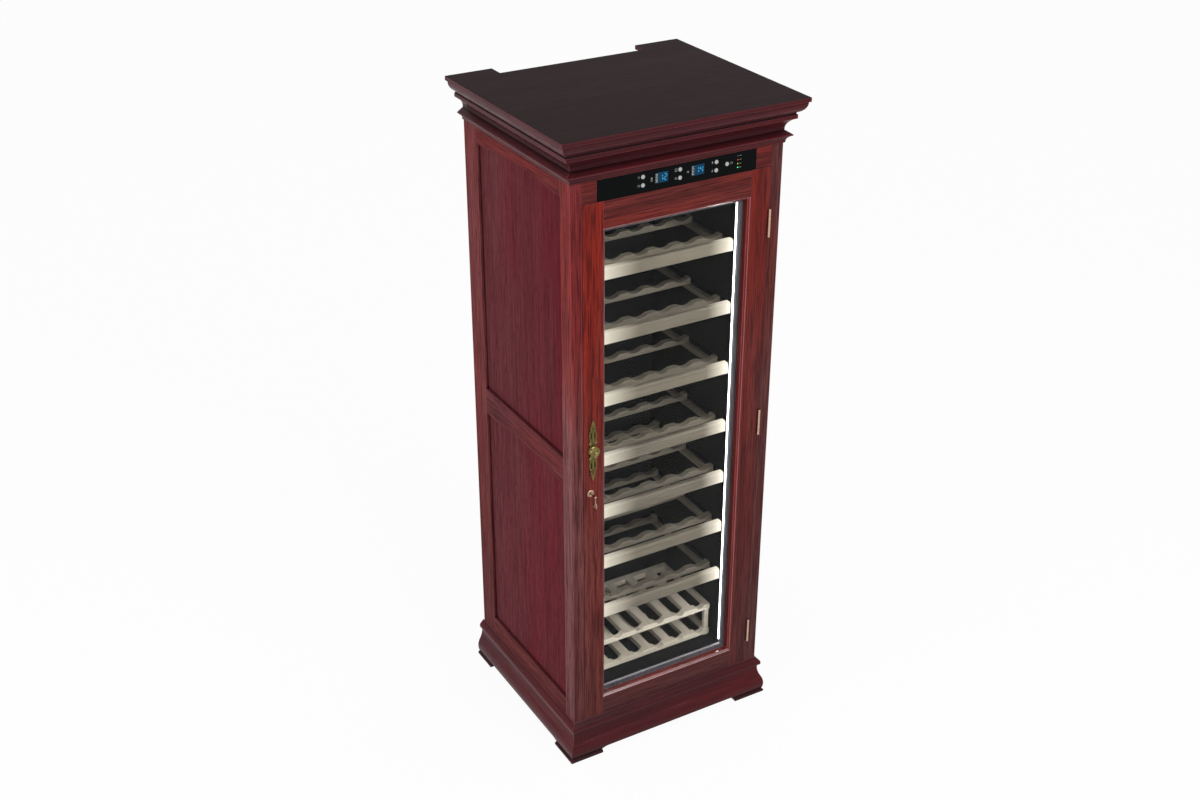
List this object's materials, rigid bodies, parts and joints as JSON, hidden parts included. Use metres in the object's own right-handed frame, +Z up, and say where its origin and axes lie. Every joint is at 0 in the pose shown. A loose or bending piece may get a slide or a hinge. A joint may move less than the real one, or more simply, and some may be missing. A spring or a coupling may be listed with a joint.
{
  "type": "wine cabinet",
  "caption": "Tall cooled wine cabinet: moulded wooden case on bracket feet, glazed hinged door with lock and key, control panel, sliding cradle shelves and a bottle rack.",
  "frame": {"origin": "centre of the bounding box's base, on the floor", "axes": "+X to the right seen from the front, +Y to the back, +Z up"},
  "size_m": [0.736, 0.647, 1.92],
  "materials": {
    "mahogany": "satin lacquer",
    "mahogany_panel": "satin lacquer",
    "dark_top": "gloss lacquer",
    "carcass_wood": "sawn",
    "shelf_wood": "matt oiled",
    "rack_wood": "matt",
    "olive_brass": "antique",
    "hinge_brass": "polished",
    "key_metal": "polished",
    "lock_steel": "plated",
    "panel_black": "gloss",
    "display_window": "gloss",
    "button_silver": "metallised",
    "liner_black": "matt",
    "foam": "foamed",
    "plated_sheet": "plated",
    "machine_black": "satin",
    "copper_pipe": "drawn",
    "plain_aluminium": "mill",
    "light_diffuser": "frosted",
    "fan_plastic": "matt",
    "seal_rubber": "matt",
    "clear_glass": "clear"
  },
  "bodies": {
    "cabinet": {"crown_moulding": "mahogany", "neck_moulding": "mahogany", "plinth_moulding": "mahogany", "front_posts": "mahogany", "rear_stiles": "mahogany", "side_rails": "mahogany", "face_rails": "mahogany", "side_panels": "mahogany_panel", "top_board": "dark_top", "plinth_blocks": "carcass_wood", "case_boards": "carcass_wood", "bottle_rack": "rack_wood", "hinge_case_leaves": "hinge_brass", "strike_plate": "hinge_brass", "fascia": "panel_black", "displays": "display_window", "inner_liner": "liner_black", "shelf_runners": "liner_black", "air_duct_cover": "liner_black", "control_box": "liner_black", "drain_pan": "liner_black", "power_inlet": "liner_black", "insulation": "foam", "back_sheet": "plated_sheet", "compressor": "machine_black", "condenser": "machine_black", "fan_motors": "machine_black", "refrigerant_pipes": "copper_pipe", "evaporator": "plain_aluminium", "led_strips": "light_diffuser", "compressor_mounts": "seal_rubber"},
    "door": {"door_stiles": "mahogany", "door_rails": "mahogany", "glazing_beads": "mahogany", "door_glass": "clear_glass", "glass_spacer": "plain_aluminium", "door_gasket": "seal_rubber", "hinge_door_leaves": "hinge_brass", "handle_plate": "olive_brass", "knob": "olive_brass", "lock_barrel": "olive_brass"},
    "key": {"key": "key_metal", "lock_cam": "lock_steel"},
    "key_bow": {"key_bow": "key_metal"},
    "fan_low": {"fan_low_rotor": "fan_plastic"},
    "fan_high": {"fan_high_rotor": "fan_plastic"},
    "button_left_up": {"button_left_up": "button_silver"},
    "button_left_down": {"button_left_down": "button_silver"},
    "button_middle_up": {"button_middle_up": "button_silver"},
    "button_middle_down": {"button_middle_down": "button_silver"},
    "button_right_up": {"button_right_up": "button_silver"},
    "button_right_down": {"button_right_down": "button_silver"},
    "button_power": {"button_power": "button_silver"},
    "shelf_1": {"shelf_1": "shelf_wood"},
    "shelf_2": {"shelf_2": "shelf_wood"},
    "shelf_3": {"shelf_3": "shelf_wood"},
    "shelf_4": {"shelf_4": "shelf_wood"},
    "shelf_5": {"shelf_5": "shelf_wood"},
    "shelf_6": {"shelf_6": "shelf_wood"},
    "shelf_7": {"shelf_7": "shelf_wood"}
  },
  "joints": [
    {"name": "door_swing", "type": "hinge", "parent": "cabinet", "child": "door", "pos_m": [0.28525, -0.2793, 0], "axis": [0, 0, 1], "range_deg": [0, 120]},
    {"name": "key_turn", "type": "hinge", "parent": "door", "child": "key", "pos_m": [-0.264, -0.3005, 0.898], "axis": [0, 1, 0], "range_deg": [0, 90]},
    {"name": "key_bow_fold", "type": "hinge", "parent": "key", "child": "key_bow", "pos_m": [-0.264, -0.3005, 0.898], "axis": [-1, 0, 0], "range_deg": [0, 90]},
    {"name": "fan_low_spin", "type": "hinge", "parent": "cabinet", "child": "fan_low", "pos_m": [0, 0.2025, 0.56], "axis": [0, -1, 0], "continuous": true},
    {"name": "fan_high_spin", "type": "hinge", "parent": "cabinet", "child": "fan_high", "pos_m": [0, 0.2025, 1.53], "axis": [0, -1, 0], "continuous": true},
    {"name": "button_left_up_press", "type": "slide", "parent": "cabinet", "child": "button_left_up", "axis": [0, 1, 0], "range_m": [0, 0.0012], "stiffness_N_per_m": 400},
    {"name": "button_left_down_press", "type": "slide", "parent": "cabinet", "child": "button_left_down", "axis": [0, 1, 0], "range_m": [0, 0.0012], "stiffness_N_per_m": 400},
    {"name": "button_middle_up_press", "type": "slide", "parent": "cabinet", "child": "button_middle_up", "axis": [0, 1, 0], "range_m": [0, 0.0012], "stiffness_N_per_m": 400},
    {"name": "button_middle_down_press", "type": "slide", "parent": "cabinet", "child": "button_middle_down", "axis": [0, 1, 0], "range_m": [0, 0.0012], "stiffness_N_per_m": 400},
    {"name": "button_right_up_press", "type": "slide", "parent": "cabinet", "child": "button_right_up", "axis": [0, 1, 0], "range_m": [0, 0.0012], "stiffness_N_per_m": 400},
    {"name": "button_right_down_press", "type": "slide", "parent": "cabinet", "child": "button_right_down", "axis": [0, 1, 0], "range_m": [0, 0.0012], "stiffness_N_per_m": 400},
    {"name": "button_power_press", "type": "slide", "parent": "cabinet", "child": "button_power", "axis": [0, 1, 0], "range_m": [0, 0.0012], "stiffness_N_per_m": 400},
    {"name": "shelf_1_slide", "type": "slide", "parent": "cabinet", "child": "shelf_1", "axis": [0, -1, 0], "range_m": [0, 0.132]},
    {"name": "shelf_2_slide", "type": "slide", "parent": "cabinet", "child": "shelf_2", "axis": [0, -1, 0], "range_m": [0, 0.132]},
    {"name": "shelf_3_slide", "type": "slide", "parent": "cabinet", "child": "shelf_3", "axis": [0, -1, 0], "range_m": [0, 0.132]},
    {"name": "shelf_4_slide", "type": "slide", "parent": "cabinet", "child": "shelf_4", "axis": [0, -1, 0], "range_m": [0, 0.132]},
    {"name": "shelf_5_slide", "type": "slide", "parent": "cabinet", "child": "shelf_5", "axis": [0, -1, 0], "range_m": [0, 0.132]},
    {"name": "shelf_6_slide", "type": "slide", "parent": "cabinet", "child": "shelf_6", "axis": [0, -1, 0], "range_m": [0, 0.132]},
    {"name": "shelf_7_slide", "type": "slide", "parent": "cabinet", "child": "shelf_7", "axis": [0, -1, 0], "range_m": [0, 0.132]}
  ],
  "couplings": [
    {"joint": "shelf_1_slide", "follows": "door_swing", "m_per_rad": 0.063},
    {"joint": "shelf_2_slide", "follows": "door_swing", "m_per_rad": 0.063},
    {"joint": "shelf_3_slide", "follows": "door_swing", "m_per_rad": 0.063},
    {"joint": "shelf_4_slide", "follows": "door_swing", "m_per_rad": 0.063},
    {"joint": "shelf_5_slide", "follows": "door_swing", "m_per_rad": 0.063},
    {"joint": "shelf_6_slide", "follows": "door_swing", "m_per_rad": 0.063},
    {"joint": "shelf_7_slide", "follows": "door_swing", "m_per_rad": 0.063}
  ]
}
